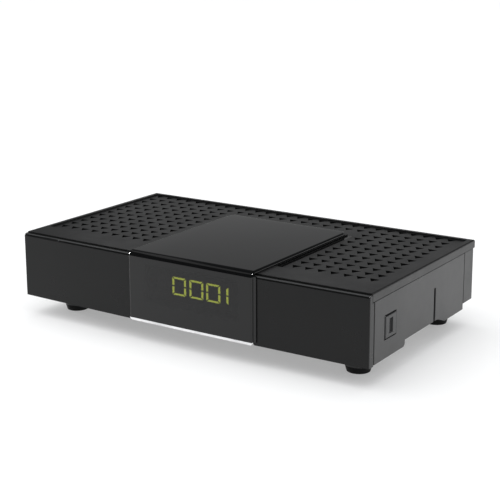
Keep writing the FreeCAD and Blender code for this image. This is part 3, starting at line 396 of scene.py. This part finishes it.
def board_green():
    """Solder mask with the faint grid of its copper tracks."""
    shader = Shader("board_green", Roughness=0.32, Coat_Weight=0.25)
    mask, track = (0.004, 0.05, 0.018, 1), (0.01, 0.1, 0.035, 1)
    tracks = shader.add(
        "ShaderNodeTexBrick", Vector=shader.stretch(TRACKS, TRACKS, TRACKS), Scale=1.0,
        Mortar_Size=0.12, Mortar_Smooth=0.2,
    ).outputs["Fac"]
    shown = shader.product(tracks, shader.noise(scale=500.0, detail=2.0))
    shader.colour(shader.tint(shown, mask, track))
    shader.bump(tracks, depth=30 * MICRON, strength=0.5)
    return shader.material


def lit_segment():
    """The glow of a segment, a little uneven."""
    dim, bright, unlit = (0.55, 0.62, 0.05, 1), (0.65, 0.74, 0.085, 1), (0.3, 0.35, 0.05, 1)
    shader = Shader("lit_segment", Roughness=0.5, Base_Color=unlit, Emission_Strength=8.0)
    uneven = shader.drift(shader.noise(scale=700.0, detail=2.0))
    shader.join(shader.surface, "Emission Color", shader.tint(uneven, dim, bright))
    return shader.material


top_black = deck_plastic()
wing_black = bezel_plastic()
base_black = base_plastic()
panel_black = moulded("panel_black", (0.027, 0.0271, 0.0275, 1), rough=0.36, depth=12 * MICRON, scale=2200.0)
button_black = moulded("button_black", (0.024, 0.0245, 0.0255, 1), rough=0.35, depth=12 * MICRON)
rubber = moulded(
    "rubber", (0.005, 0.005, 0.0052, 1), rough=0.6, depth=30 * MICRON, scale=1600.0,
    Specular_IOR_Level=0.16,
)
cover_black = smoked_cover()
bright_trim = metal("bright_trim", (0.93, 0.93, 0.94, 1), rough=0.3, lines=(0.02, 1.0, 1.0), spread=0.05)
nickel = metal("nickel", (0.56, 0.55, 0.52, 1), rough=0.2)
tin = metal("tin", (0.7, 0.71, 0.72, 1), rough=0.34, lines=(0.06, 1.0, 1.0), spread=0.12)
steel = metal("steel", (0.5, 0.5, 0.51, 1), rough=0.36)
gold = metal("gold", (0.95, 0.72, 0.3, 1), rough=0.26)
aluminium = metal("aluminium", (0.8, 0.81, 0.82, 1), rough=0.38, lines=(1.0, 0.05, 1.0), spread=0.1)
contact_black = plain("contact_black", (0.015, 0.015, 0.016, 1), rough=0.5)
socket_grey = plain("socket_grey", (0.028, 0.028, 0.03, 1), rough=0.42)
core_orange = plain("core_orange", (0.72, 0.17, 0.02, 1), rough=0.4)
epoxy = plain("epoxy", (0.02, 0.02, 0.022, 1), rough=0.55)
sleeve = capacitor_sleeve()
ferrite = plain("ferrite", (0.06, 0.058, 0.06, 1), rough=0.6)
display_black = plain("display_black", (0.012, 0.012, 0.012, 1), rough=0.45)
eye_epoxy = plain("eye_epoxy", (0.03, 0.012, 0.016, 1), rough=0.12, Coat_Weight=0.4)
lamp_epoxy = plain("lamp_epoxy", (0.3, 0.02, 0.015, 1), rough=0.2, Coat_Weight=0.4)
film = plain("film", (0.72, 0.72, 0.68, 1), rough=0.4)
insulator = plain("insulator", (0.74, 0.73, 0.69, 1), rough=0.45)
laminate = board_green()
segment_glow = lit_segment()

NODE_MATERIALS = {
    "top_shell": top_black, "bottom_shell": base_black, "front_bezel": wing_black,
    "centre_cover": cover_black, "trim_strip": bright_trim, "rear_panel": panel_black,
    "foot_pad_front_left": rubber, "foot_pad_front_right": rubber, "foot_pad_rear_left": rubber,
    "foot_pad_rear_right": rubber, "power_button": button_black, "power_switch": socket_grey,
    "main_board": laminate, "board_screws": steel, "case_screws": steel, "tuner_can": tin,
    "lnb_input": nickel, "loop_output": nickel, "hdmi_socket": nickel, "usb_socket": nickel,
    "hdmi_tongue": contact_black, "usb_tongue": contact_black, "lan_socket": socket_grey,
    "digital_audio_jack": core_orange, "digital_audio_ring": nickel, "dc_jack": contact_black,
    "dc_pin": nickel, "decoder_chip": epoxy, "heatsink": aluminium, "memory_chips": epoxy,
    "capacitors": sleeve, "power_coils": ferrite, "display_board": laminate,
    "display_module": display_black, "ir_receiver": eye_epoxy, "standby_led": lamp_epoxy,
    "ribbon_header": contact_black, "ribbon_cable": film,
}


# ---- pieces ---------------------------------------------------------------------------------

SHARP_ANGLE = math.radians(28)                      # sharper edges are shaded as edges
ROUNDED_ANGLE = math.radians(32)                    # and sharper ones than this are rounded
SAME_POINT = 0.0001 * MM
MERGE_WITHIN, FLAT_WITHIN = 0.002 * MM, math.radians(0.4)
RETURN_REACH, EDGE_CATCH = 2.1 * MM, 0.05 * MM      # the bezel's returns, and the edges at their rear
SEAM_RELIEF = 0.9 * MM                              # taken off those edges


def piece(name, data, material, body, bevel=0.0, segments=2, stands_for=None, slot=None):
    """Links a mesh as a piece of a body, with soft shading and its edges rounded."""
    data.materials.clear()
    data.materials.append(material)
    thing = bpy.data.objects.new(name, data)
    bpy.context.scene.collection.objects.link(thing)
    data.shade_smooth()
    data.set_sharp_from_angle(angle=SHARP_ANGLE)
    if bevel:
        rounding = thing.modifiers.new("edges", "BEVEL")
        rounding.width = bevel
        rounding.segments = segments
        rounding.limit_method = "ANGLE"
        rounding.angle_limit = ROUNDED_ANGLE
        rounding.use_clamp_overlap = True
        rounding.loop_slide = False
        even = thing.modifiers.new("even_shading", "WEIGHTED_NORMAL")
        even.keep_sharp = True
        even.weight = 100
    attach(thing, body)
    if stands_for:
        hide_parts(stands_for)


def meshed(name, points, faces, material, **finish):
    """A piece of the receiver made of points and faces."""
    data = bpy.data.meshes.new(name)
    data.from_pydata(points, [], faces)
    mesh = bmesh.new()
    mesh.from_mesh(data)
    bmesh.ops.remove_doubles(mesh, verts=mesh.verts, dist=SAME_POINT)
    bmesh.ops.delete(mesh, geom=[edge for edge in mesh.edges if not edge.link_faces], context="EDGES")
    bmesh.ops.recalc_face_normals(mesh, faces=mesh.faces)
    mesh.to_mesh(data)
    mesh.free()
    piece(name, data, material, "receiver", **finish)


def joined(here, there, count):
    """The faces between two closed rings of points, given by each ring's first point."""
    return [(here + i, here + (i + 1) % count, there + (i + 1) % count, there + i) for i in range(count)]


def prisms(name, pairs, material, **finish):
    """Closed forms in one piece, each between two rings of as many points."""
    points, faces = [], []
    for ring, opposite in pairs:
        first, count = len(points), len(ring)
        second = first + count
        points += [*ring, *opposite]
        faces += [tuple(range(first, second)), tuple(range(second, second + count))]
        faces += joined(first, second, count)
    meshed(name, points, faces, material, **finish)


def around(centre, radius, angle, y):
    """A point at a radius and an angle about a line along Y through a centre (x, z)."""
    return (centre[0] + radius * math.cos(angle), y, centre[1] + radius * math.sin(angle))


def turned(name, centre, profile, material, steps=40, **finish):
    """A ring turned about a line along Y: a closed profile of (radius, y) points."""
    count = len(profile)
    points, faces = [], []
    for step in range(steps):
        angle = 2 * math.pi * step / steps
        points += [around(centre, radius, angle, y) for radius, y in profile]
        faces += joined(step * count, (step + 1) % steps * count, count)
    meshed(name, points, faces, material, **finish)


def finished(name, bevel):
    """A CAD node's form with its edges broken by a small round, and wider side seams by the bezel."""
    node = nodes[name]
    mesh = bmesh.new()
    mesh.from_mesh(node.data)
    bmesh.ops.remove_doubles(mesh, verts=mesh.verts, dist=MERGE_WITHIN)
    bmesh.ops.dissolve_limit(
        mesh, angle_limit=FLAT_WITHIN, verts=mesh.verts, edges=mesh.edges, delimit=set(),
    )
    bmesh.ops.recalc_face_normals(mesh, faces=mesh.faces)
    if name == "front_bezel":
        returned = [point for point in mesh.verts if abs(point.co.x) > bezel_high.x - RETURN_REACH]
        rear = max(point.co.y for point in returned)
        for point in returned:
            if point.co.y > rear - EDGE_CATCH:
                point.co.y -= SEAM_RELIEF
    data = bpy.data.meshes.new(f"{name}_form")
    mesh.to_mesh(data)
    mesh.free()
    piece(f"{name}_form", data, NODE_MATERIALS[name], node["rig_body"], bevel, stands_for=name)


EDGE_ROUND = {    # in millimetres; the centre cover keeps the edges of its solid
    "top_shell": 0.16, "bottom_shell": 0.22, "front_bezel": 0.2, "centre_cover": 0.0,
    "trim_strip": 0.15, "rear_panel": 0.22, "power_button": 0.15, "lan_socket": 0.12,
    "dc_jack": 0.2, "hdmi_socket": 0.08, "usb_socket": 0.08, "case_screws": 0.15,
    "digital_audio_jack": 0.12, "digital_audio_ring": 0.1,
}
for name, material in NODE_MATERIALS.items():
    plain_form = nodes[name].data
    plain_form.materials.clear()
    plain_form.materials.append(material)
    if name in EDGE_ROUND:
        finished(name, EDGE_ROUND[name] * MM)


# ---- lit digits -----------------------------------------------------------------------------

DIGIT_WIDTH, DIGIT_HEIGHT = 6.7 * MM, 7.4 * MM
BAR_WIDTH, BAR_HEIGHT = 0.96 * MM, 0.74 * MM        # of the upright and of the level bars
BAR_GAP, BAR_PROUD, BAR_ROUND = 0.3 * MM, 0.12 * MM, 0.03 * MM
DIGIT_LEFTS = (-4.9 * MM, 3.5 * MM, 11.6 * MM)      # of the noughts
ONE_RIGHT = 22.1 * MM
DIGIT_FOOT = (display_low.z + display_high.z - DIGIT_HEIGHT) / 2
ALL_BARS = ("left_low", "left_high", "right_low", "right_high", "foot", "head")


def bars(left, shown):
    """Outlines of a digit's bars, mitred where they meet, as lists of points (x, z)."""
    right, foot = left + DIGIT_WIDTH, DIGIT_FOOT
    head, middle = foot + DIGIT_HEIGHT, foot + DIGIT_HEIGHT / 2
    found = []
    for key, edge, side in (("left", left, 1), ("right", right, -1)):
        inner = edge + side * BAR_WIDTH
        for half, end, turn in (("low", foot, 1), ("high", head, -1)):
            if f"{key}_{half}" in shown:
                found.append([
                    (edge, end + turn * BAR_GAP),
                    (inner, end + turn * (BAR_HEIGHT + BAR_GAP)),
                    (inner, middle - turn * BAR_GAP),
                    (edge, middle - turn * BAR_GAP),
                ])
    for key, end, turn in (("foot", foot, 1), ("head", head, -1)):
        if key in shown:
            inner = end + turn * BAR_HEIGHT
            found.append([
                (left + BAR_GAP, end), (right - BAR_GAP, end),
                (right - BAR_WIDTH - BAR_GAP, inner), (left + BAR_WIDTH + BAR_GAP, inner),
            ])
    return found


def lit_digits():
    """The bars of 0001, thin plates that stand forward from the display's face."""
    outlines = [bar for left in DIGIT_LEFTS for bar in bars(left, ALL_BARS)]
    outlines += bars(ONE_RIGHT - DIGIT_WIDTH, ("right_low", "right_high"))
    depths = (display_low.y, display_low.y - BAR_PROUD)
    pairs = [[[(x, y, z) for x, z in outline] for y in depths] for outline in outlines]
    prisms("lit_digits", pairs, segment_glow, bevel=BAR_ROUND, segments=1, slot="display_plastic")


lit_digits()


# ---- bead beside the cover ------------------------------------------------------------------

BEAD_LEFT, BEAD_RIGHT = 0.02 * MM, 1.28 * MM        # of the cover's right wall
BEAD_BACK = 0.95 * MM                               # behind the cover's and the bezel's foremost points
BEAD_FOOT, BEAD_HEAD = 0.1 * MM, 0.15 * MM          # inside the cover's foot and the bezel's top
BEAD_ROUND, BEAD_EDGE = 0.18 * MM, 0.06 * MM
ARC_MIDDLE = 0.3    # a quarter round's middle point lies this share of its radius in from both faces


def upright_bead():
    """A slim upright rim that carries the cover's right edge on to the bezel."""
    left, right = cover_high.x + BEAD_LEFT, cover_high.x + BEAD_RIGHT
    front, rear = cover_low.y + BEAD_BACK, bezel_low.y + BEAD_BACK
    middle = BEAD_ROUND * ARC_MIDDLE
    outline = [
        (left, rear), (left, front), (right - BEAD_ROUND, front),
        (right - middle, front + middle), (right, front + BEAD_ROUND), (right, rear),
    ]
    levels = (cover_low.z + BEAD_FOOT, bezel_high.z - BEAD_HEAD)
    prisms("cover_bead", [[[(x, y, z) for x, y in outline] for z in levels]], cover_black, bevel=BEAD_EDGE)


upright_bead()


# ---- the two F connectors -------------------------------------------------------------------

COLLAR_LENGTH, COLLAR_CHAMFER = 2.3 * MM, 0.3 * MM
BARREL_RADIUS = 4.4 * MM
TIP_LENGTH, TIP_DEPTH = 0.35 * MM, 0.25 * MM        # of the barrel's chamfer
JACK_BORE, BORE_CHAMFER, BORE_DEPTH = 2.6 * MM, 0.2 * MM, 7.5 * MM
THREAD_PITCH, THREAD_RISE = 0.79 * MM, 0.35 * MM
THREAD_STEPS, THREAD_SUNK = 32, 0.1 * MM            # steps of a turn, and the ridge's depth in the barrel
THREAD_FOOT, THREAD_CREST = 0.36, 0.06              # half widths, as shares of the pitch
RUN_OUT, RUN_OUT_LEAST = 8, 0.05                    # steps to the full rise, and the rise's least share
THREAD_START, THREAD_END = 0.4 * MM, 0.7 * MM       # clear of the collar and of the tip
SEAT = 0.1 * MM                                     # between the bore's floor and what stands in it
INSULATOR_BORE, INSULATOR_RADIUS = 0.55 * MM, 2.55 * MM
INSULATOR_END, INSULATOR_CHAMFER = 0.5 * MM, 0.2 * MM       # below the barrel's tip
FUNNEL_WIDTH, FUNNEL_DEPTH = 0.3 * MM, 0.4 * MM     # of the hole for the cable's core
CLIP_BORE, CLIP_RADIUS, CLIP_END, CLIP_STEPS = 0.3 * MM, 0.5 * MM, 1.4 * MM, 20


def thread(name, centre, start, end):
    """The barrel's screw thread, a ridge wound round it and run out at both ends."""
    total = round((end - start) / THREAD_PITCH * THREAD_STEPS)
    sunk = BARREL_RADIUS - THREAD_SUNK
    section = ((0, -THREAD_FOOT), (1, -THREAD_CREST), (1, THREAD_CREST), (0, THREAD_FOOT))
    count = len(section)
    points, faces = [], []
    for step in range(total + 1):
        angle = 2 * math.pi * step / THREAD_STEPS
        middle = start + THREAD_PITCH * step / THREAD_STEPS
        share = max(RUN_OUT_LEAST, min(1.0, step / RUN_OUT, (total - step) / RUN_OUT))
        rise = (THREAD_RISE + THREAD_SUNK) * share
        points += [
            around(centre, sunk + out * rise, angle, middle + shift * THREAD_PITCH) for out, shift in section
        ]
    for step in range(total):
        faces += joined(step * count, (step + 1) * count, count)
    last = total * count
    faces += [tuple(range(count)), tuple(range(last, last + count))]
    meshed(name, points, faces, nickel)


def f_connector(jack):
    """A threaded barrel with its insulator and its contact clip."""
    low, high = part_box(jack)
    centre = ((low.x + high.x) / 2, (low.z + high.z) / 2)
    radius, foot, end = (high.x - low.x) / 2, low.y, high.y
    collar, floor = foot + COLLAR_LENGTH, end - BORE_DEPTH
    turned(f"{jack}_barrel", centre, [
        (0, foot), (radius, foot), (radius, collar - COLLAR_CHAMFER), (radius - COLLAR_CHAMFER, collar),
        (BARREL_RADIUS, collar), (BARREL_RADIUS, end - TIP_LENGTH), (BARREL_RADIUS - TIP_DEPTH, end),
        (JACK_BORE + BORE_CHAMFER, end), (JACK_BORE, end - BORE_CHAMFER), (JACK_BORE, floor), (0, floor),
    ], nickel, stands_for=jack)
    thread(f"{jack}_ridge", centre, collar + THREAD_START, end - THREAD_END)
    seat, face, clip_end = floor + SEAT, end - INSULATOR_END, end - CLIP_END
    turned(f"{jack}_insulator", centre, [
        (INSULATOR_BORE, seat), (INSULATOR_RADIUS, seat), (INSULATOR_RADIUS, face - INSULATOR_CHAMFER),
        (INSULATOR_RADIUS - INSULATOR_CHAMFER, face), (INSULATOR_BORE + FUNNEL_WIDTH, face),
        (INSULATOR_BORE, face - FUNNEL_DEPTH),
    ], insulator)
    turned(f"{jack}_clip", centre, [
        (CLIP_BORE, seat), (CLIP_RADIUS, seat), (CLIP_RADIUS, clip_end), (CLIP_BORE, clip_end),
    ], gold, steps=CLIP_STEPS)


for jack in ("lnb_input", "loop_output"):
    f_connector(jack)


# ---- gold contacts of the sockets -----------------------------------------------------------

CONTACT_RISE = 0.08 * MM
HDMI_PITCH, HDMI_HALF = 1.0 * MM, 0.22 * MM
HDMI_INNER, HDMI_OUTER = 6.0 * MM, 0.5 * MM         # behind the tongue's tip
HDMI_UPPER, HDMI_LOWER = 10, 9                      # contacts on each side of the tongue
USB_PLACES, USB_HALF = (-3.5 * MM, -1.0 * MM, 1.0 * MM, 3.5 * MM), 0.5 * MM
USB_INNER, USB_OUTER = 7.0 * MM, 0.6 * MM           # behind the tongue's tip
LAN_COUNT, LAN_PITCH, LAN_HALF = 8, 1.02 * MM, 0.2 * MM
LAN_START, LAN_CEILING = 3.0 * MM, 4.1 * MM         # behind the mouth, and above the socket's middle
LAN_STEPS, LAN_RUN, LAN_LAP = 9, 0.9 * MM, 0.05 * MM
LAN_FIRST_DROP, LAN_DROP, LAN_THICK = 0.35 * MM, 0.36 * MM, 0.42 * MM


def places(count, pitch):
    """Places at one pitch either side of nought."""
    return [(index - (count - 1) / 2) * pitch for index in range(count)]


def bricks(name, boxes, material):
    """Small bars, each given by two corners, in one piece."""
    pairs = []
    for (left, front, foot), (right, rear, head) in boxes:
        outline = ((left, front), (right, front), (right, rear), (left, rear))
        pairs.append([[(x, y, z) for x, y in outline] for z in (foot, head)])
    prisms(name, pairs, material)


def contacts(low, high, foot, shifts, half, inner, outer):
    """Flat contacts side by side on a tongue with a given box, each as two corners."""
    middle = (low.x + high.x) / 2
    return [
        (
            (middle + shift - half, high.y - inner, foot),
            (middle + shift + half, high.y - outer, foot + CONTACT_RISE),
        )
        for shift in shifts
    ]


def lan_wires():
    """Sprung wires that slope down into the socket, each as a flight of small bars."""
    low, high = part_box("lan_socket")
    middle, ceiling = (low.x + high.x) / 2, (low.z + high.z) / 2 + LAN_CEILING
    boxes = []
    for shift in places(LAN_COUNT, LAN_PITCH):
        for step in range(LAN_STEPS):
            near = high.y - LAN_START - step * LAN_RUN
            top = ceiling - LAN_FIRST_DROP - step * LAN_DROP
            boxes.append((
                (middle + shift - LAN_HALF, near - LAN_RUN - LAN_LAP, top - LAN_THICK),
                (middle + shift + LAN_HALF, near, top),
            ))
    return boxes


hdmi_low, hdmi_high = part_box("hdmi_tongue")
usb_low, usb_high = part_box("usb_tongue")
bricks("hdmi_contacts", [
    box
    for foot, count in ((hdmi_high.z, HDMI_UPPER), (hdmi_low.z - CONTACT_RISE, HDMI_LOWER))
    for box in contacts(
        hdmi_low, hdmi_high, foot, places(count, HDMI_PITCH), HDMI_HALF, HDMI_INNER, HDMI_OUTER,
    )
], gold)
bricks("usb_contacts", contacts(
    usb_low, usb_high, usb_low.z - CONTACT_RISE, USB_PLACES, USB_HALF, USB_INNER, USB_OUTER,
), gold)
bricks("lan_contacts", lan_wires(), gold)


# ---- stage, light and camera ----------------------------------------------------------------

FLOOR_HALF, FLOOR_GLOW, FLOOR_ROUGHNESS = 20.0, 0.34, 0.8
WORLD_COLOUR = (0.96, 0.98, 1.0, 1)
WORLD_LIGHT, WORLD_SHEEN = 0.55, 0.09    # its strength for matt and for glossy reflections
SUN_STRENGTH, SUN_SPREAD = 2.1, math.radians(80)
SUN_TILT = Euler((math.radians(8), math.radians(-10), 0))
SOFTBOXES = (    # name, place, point it aims at, size, power in watts
    ("back_box", (-0.45, 1.19, 0.3), (0, 0, 0.02), (1.15, 0.8), 0.585),
    ("side_box", (0.85, 1.0, 0.12), (0, 0, 0.02), (1.1, 0.34), 1.1),
    ("strip_box", (-0.73, -0.3, 1.09), (0, 0, 0.03), (1.2, 0.3), 0.55),
)
SPARKS = (       # small lights that only give glints, in the same form
    ("right_spark", (0.815, -0.3, 0.913), (0, 0, 0.03), (0.26, 0.26), 26),
    ("left_spark", (-1.2, 0.09, 0.16), (0, 0, 0.03), (0.22, 0.22), 24),
)
CAMERA_PLACE = (0.27762, -0.41684, 0.1659)
CAMERA_AZIMUTH, CAMERA_ELEVATION, CAMERA_ROLL = (math.radians(angle) for angle in (33.656, 12.88, -0.239))
PICTURE_WIDTH, LENS_LENGTH = 500, 1214.9    # in pixels
SENSOR_WIDTH, LENS_SHIFT = 36.0, -0.1
CLIP_NEAR, CLIP_FAR = 0.01, 100


def make_floor():
    """A wide pale floor with a low glow of its own."""
    data = bpy.data.meshes.new("floor")
    corners = [(x * FLOOR_HALF, y * FLOOR_HALF, 0) for x, y in ((-1, -1), (1, -1), (1, 1), (-1, 1))]
    data.from_pydata(corners, [], [(0, 1, 2, 3)])
    shader = Shader("floor_white", Emission_Color=grey(1.0), Emission_Strength=FLOOR_GLOW)
    shader.colour(shader.tint(shader.noise(scale=3.0, detail=2.0), grey(0.6), grey(0.62)))
    shader.roughness(FLOOR_ROUGHNESS)
    data.materials.append(shader.material)
    floor = bpy.data.objects.new("floor", data)
    bpy.context.scene.collection.objects.link(floor)


def softbox(name, place, aim, size, power):
    """A rectangular area light turned towards a point, never itself in the picture."""
    lamp = bpy.data.lights.new(name, "AREA")
    lamp.shape = "RECTANGLE"
    lamp.size, lamp.size_y = size
    lamp.energy = power
    thing = bpy.data.objects.new(name, lamp)
    thing.visible_camera = False
    thing.location = place
    thing.rotation_euler = (Vector(aim) - Vector(place)).to_track_quat("-Z", "Y").to_euler()
    bpy.context.scene.collection.objects.link(thing)
    return thing


def make_light():
    """Diffuse light from above, and the softboxes that the glossy faces show."""
    world = bpy.data.worlds.new("studio")
    bpy.context.scene.world = world
    world.use_nodes = True
    backdrop = world.node_tree.nodes["Background"]
    backdrop.inputs["Color"].default_value = WORLD_COLOUR
    ray = world.node_tree.nodes.new("ShaderNodeLightPath").outputs["Is Glossy Ray"]
    dimmed = world.node_tree.nodes.new("ShaderNodeMapRange")
    dimmed.inputs["To Min"].default_value = WORLD_LIGHT
    dimmed.inputs["To Max"].default_value = WORLD_SHEEN
    world.node_tree.links.new(ray, dimmed.inputs["Value"])
    world.node_tree.links.new(dimmed.outputs[0], backdrop.inputs["Strength"])
    sky = bpy.data.lights.new("overhead", "SUN")
    sky.energy = SUN_STRENGTH
    sky.angle = SUN_SPREAD
    thing = bpy.data.objects.new("overhead", sky)
    thing.rotation_euler = SUN_TILT
    thing.visible_glossy = False
    bpy.context.scene.collection.objects.link(thing)
    for box in SOFTBOXES:
        softbox(*box)
    for spark in SPARKS:
        softbox(*spark).visible_diffuse = False


def make_camera():
    """The camera of the product shot, by its place, heading, tilt and roll."""
    azimuth, elevation, roll = CAMERA_AZIMUTH, CAMERA_ELEVATION, CAMERA_ROLL
    forward = Vector((
        -math.sin(azimuth) * math.cos(elevation),
        math.cos(azimuth) * math.cos(elevation),
        -math.sin(elevation),
    ))
    right = forward.cross(Vector((0, 0, 1))).normalized()
    up = right.cross(forward)
    rolled_right = right * math.cos(roll) + up * math.sin(roll)
    rolled_up = up * math.cos(roll) - right * math.sin(roll)
    camera = bpy.data.cameras.new("camera")
    camera.sensor_fit = "HORIZONTAL"
    camera.sensor_width = SENSOR_WIDTH
    camera.lens = LENS_LENGTH / PICTURE_WIDTH * SENSOR_WIDTH
    camera.shift_y = LENS_SHIFT
    camera.clip_start, camera.clip_end = CLIP_NEAR, CLIP_FAR
    thing = bpy.data.objects.new("camera", camera)
    basis = Matrix((rolled_right, rolled_up, -forward)).transposed()
    thing.matrix_world = Matrix.Translation(CAMERA_PLACE) @ basis.to_4x4()
    bpy.context.scene.collection.objects.link(thing)
    bpy.context.scene.camera = thing


make_floor()
make_light()
make_camera()
bpy.context.scene.view_settings.view_transform = "Standard"
